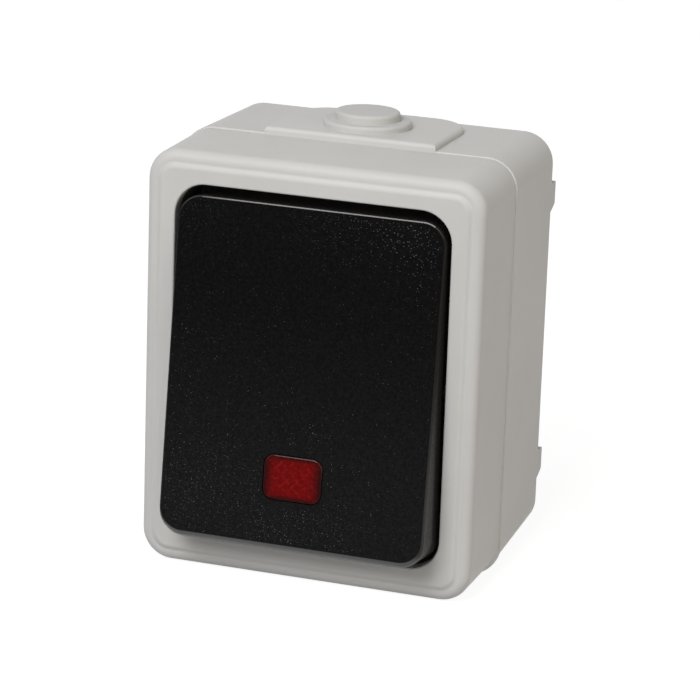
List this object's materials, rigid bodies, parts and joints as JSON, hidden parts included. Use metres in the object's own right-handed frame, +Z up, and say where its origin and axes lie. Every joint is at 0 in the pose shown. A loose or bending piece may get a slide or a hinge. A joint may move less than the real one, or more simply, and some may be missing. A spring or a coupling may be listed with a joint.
{
  "type": "outdoor weatherproof rocker switch",
  "caption": "Surface-mounted weatherproof rocker switch: grey two-part housing, black tilting rocker with a red pilot window, plugged cable entry on top.",
  "frame": {"origin": "centre of the wall-fixing holes, on the plane of the wall", "axes": "+Y into the wall, +Z up, +X to the right seen from the front"},
  "size_m": [0.066, 0.0573, 0.0851],
  "materials": {
    "housing_grey": "pale grey moulded housing plastic, satin",
    "rocker_black": "black moulded plastic with a fine spark texture",
    "tray_black": "smooth black moulded plastic",
    "lens_red": "clear red moulded plastic",
    "plug_grey": "pale grey soft rubber",
    "seal_black": "black sealing rubber",
    "membrane": "translucent soft rubber",
    "insert_white": "white moulded insulating plastic",
    "terminal_brass": "brass strip",
    "contact_silver": "silver alloy contact",
    "screw_steel": "zinc-plated steel",
    "lamp_glass": "clear glass tube",
    "resistor": "lacquered resistor body"
  },
  "bodies": {
    "housing": {"base_box": "housing_grey", "front_cover": "housing_grey", "rocker_tray": "tray_black", "cover_gasket": "seal_black", "cable_plug": "plug_grey", "cover_screws": "screw_steel", "cover_screw_seals": "seal_black", "rocker_membrane": "membrane", "insert_plate": "insert_white", "insert_body": "insert_white", "insert_back": "insert_white", "insert_screws": "screw_steel", "common_terminal": "terminal_brass", "upper_terminal": "terminal_brass", "lower_terminal": "terminal_brass", "lamp_terminal": "terminal_brass", "terminal_screws": "screw_steel", "fixed_contacts": "contact_silver", "pilot_lamp": "lamp_glass", "lamp_leads": "screw_steel", "lamp_resistor": "resistor"},
    "rocker": {"rocker": "rocker_black", "rocker_lens": "lens_red"},
    "dolly": {"dolly": "insert_white", "toggle_spring": "screw_steel"},
    "plunger": {"plunger": "terminal_brass"},
    "lever": {"contact_lever": "terminal_brass", "moving_contacts": "contact_silver"}
  },
  "joints": [
    {"name": "rocker_tilt", "type": "hinge", "parent": "housing", "child": "rocker", "pos_m": [0, -0.047, 0], "axis": [1, 0, 0], "range_deg": [0, 14.1], "deforming": ["rocker_membrane"]},
    {"name": "dolly_tilt", "type": "hinge", "parent": "housing", "child": "dolly", "pos_m": [0, -0.0295, 0], "axis": [1, 0, 0], "range_deg": [0, 14.1]},
    {"name": "plunger_slide", "type": "slide", "parent": "dolly", "child": "plunger", "axis": [0, -0.9924, 0.1227], "range_m": [0, 0.0006], "stiffness_N_per_m": 150, "springref_m": -0.001, "deforming": ["toggle_spring"]},
    {"name": "lever_tilt", "type": "hinge", "parent": "housing", "child": "lever", "pos_m": [0, -0.01982, 0], "axis": [1, 0, 0], "range_deg": [-16, 0]}
  ],
  "couplings": [
    {"joint": "dolly_tilt", "follows": "rocker_tilt", "ratio": 1},
    {"joint": "lever_tilt", "follows": "rocker_tilt", "ratio": -1.1347}
  ]
}
